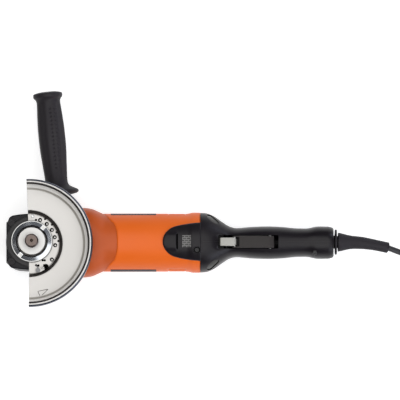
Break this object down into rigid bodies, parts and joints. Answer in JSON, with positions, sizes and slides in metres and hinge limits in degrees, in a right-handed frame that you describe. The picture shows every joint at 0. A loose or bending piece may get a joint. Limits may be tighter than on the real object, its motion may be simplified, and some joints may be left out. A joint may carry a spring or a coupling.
{
  "type": "angle grinder",
  "caption": "Corded angle grinder lying on its back: half-disc guard, threaded spindle, side handle, orange barrel, long rear handle with paddle switch, coiled lead.",
  "frame": {"origin": "on the spindle's axis, on the flat back of the gear head, which rests on the bench", "axes": "+Z along the spindle towards its nose, +X along the body towards the rear handle, +Y towards the side handle"},
  "size_m": [0.5433, 0.2311, 0.092],
  "materials": {
    "steel": "turned steel",
    "ground_steel": "ground bright steel",
    "polished_ring": "polished",
    "guard_steel": "brushed zinc-plated sheet",
    "head_paint": "fine black paint on a casting",
    "orange_shell": "satin moulded plastic",
    "black_plastic": "fine textured moulding",
    "paddle_plastic": "textured moulding",
    "grey_plastic": "satin moulding",
    "black_rubber": "soft matt rubber",
    "strap_fabric": "woven strap",
    "felt": "felt",
    "laminations": "stacked sheet",
    "copper": "enamelled copper",
    "brass": "bright brass",
    "carbon": "sintered carbon",
    "white_plastic": "plain moulding"
  },
  "bodies": {
    "root": {"baffle_ring": "white_plastic", "bearing_flange": "head_paint", "bearing_retainer_ring": "polished_ring", "brush_holders": "brass", "cable_boot": "black_rubber", "cable_clamp": "black_plastic", "carbon_brushes": "carbon", "coil_tie": "strap_fabric", "control_cover": "black_plastic", "cord_coil": "black_rubber", "cord_tube": "black_rubber", "cover_screw": "steel", "dust_seal": "felt", "electronics_module": "black_plastic", "flange_screws": "steel", "front_bearing_outer": "steel", "gear_housing": "head_paint", "handle_screws": "steel", "handle_shell_left": "black_plastic", "handle_shell_right": "black_plastic", "housing_screws": "steel", "lock_spring": "steel", "motor_housing": "orange_shell", "paddle_pin": "steel", "paddle_spring": "steel", "plug_body": "black_rubber", "plug_pins": "steel", "rear_bearing_outer": "steel", "rear_bearing_sleeve": "black_rubber", "side_handle_grip": "black_rubber", "side_handle_stud": "steel", "spindle_bearing_outer": "steel", "spindle_needle_bush": "steel", "stator_coils": "copper", "stator_core": "laminations", "switch_body": "black_plastic", "vent_grilles": "black_plastic"},
    "armature": {"armature_shaft": "steel", "armature_core": "laminations", "armature_windings": "copper", "commutator": "copper", "cooling_fan": "white_plastic", "pinion_gear": "steel", "front_bearing_inner": "steel", "rear_bearing_inner": "steel"},
    "spindle_set": {"spindle": "steel", "crown_gear": "steel", "spindle_bearing_inner": "steel", "spindle_bearing_balls": "steel", "support_flange": "ground_steel"},
    "guard": {"guard_shell": "guard_steel", "guard_index_ring": "guard_steel", "guard_latch_pin": "steel"},
    "latch": {"guard_latch": "guard_steel"},
    "lock": {"lock_button": "black_plastic", "lock_pin": "steel"},
    "paddle_set": {"paddle": "paddle_plastic", "lock_off_pin": "steel"},
    "lever": {"lock_off_lever": "grey_plastic"},
    "plunger": {"switch_plunger": "black_plastic"}
  },
  "joints": [
    {"name": "armature_spin", "type": "hinge", "parent": "root", "child": "armature", "pos_m": [0, 0, 0.032], "axis": [1, 0, 0], "continuous": true},
    {"name": "spindle_spin", "type": "hinge", "parent": "root", "child": "spindle_set", "pos_m": [0, 0, 0], "axis": [0, 0, 1], "continuous": true},
    {"name": "guard_turn", "type": "hinge", "parent": "root", "child": "guard", "pos_m": [0, 0, 0.06], "axis": [0, 0, 1], "range_deg": [-90, 90]},
    {"name": "guard_latch_swing", "type": "hinge", "parent": "guard", "child": "latch", "pos_m": [0.0066, -0.0304, 0.064], "axis": [0, 0, -1], "range_deg": [0, 9], "stiffness_Nm_per_rad": 0.002, "springref_deg": -11.46},
    {"name": "spindle_lock_press", "type": "slide", "parent": "root", "child": "lock", "axis": [0, 0, 1], "range_m": [0, 0.003], "stiffness_N_per_m": 300, "springref_m": -0.004, "deforming": ["lock_spring"]},
    {"name": "paddle_squeeze", "type": "hinge", "parent": "root", "child": "paddle_set", "pos_m": [0.252, 0, 0.044], "axis": [0, -1, 0], "range_deg": [0, 6], "stiffness_Nm_per_rad": 0.4, "springref_deg": -17.19, "deforming": ["paddle_spring"]},
    {"name": "switch_press", "type": "slide", "parent": "root", "child": "plunger", "axis": [0, 0, -1], "range_m": [0, 0.0024]},
    {"name": "lock_off_tip", "type": "hinge", "parent": "paddle_set", "child": "lever", "pos_m": [0.2148, 0, 0.0525], "axis": [0, -1, 0], "range_deg": [0, 20], "stiffness_Nm_per_rad": 0.005, "springref_deg": -17.19}
  ],
  "couplings": [
    {"joint": "spindle_spin", "follows": "armature_spin", "ratio": -0.32258},
    {"joint": "switch_press", "follows": "paddle_squeeze", "m_per_rad": 0.02}
  ]
}
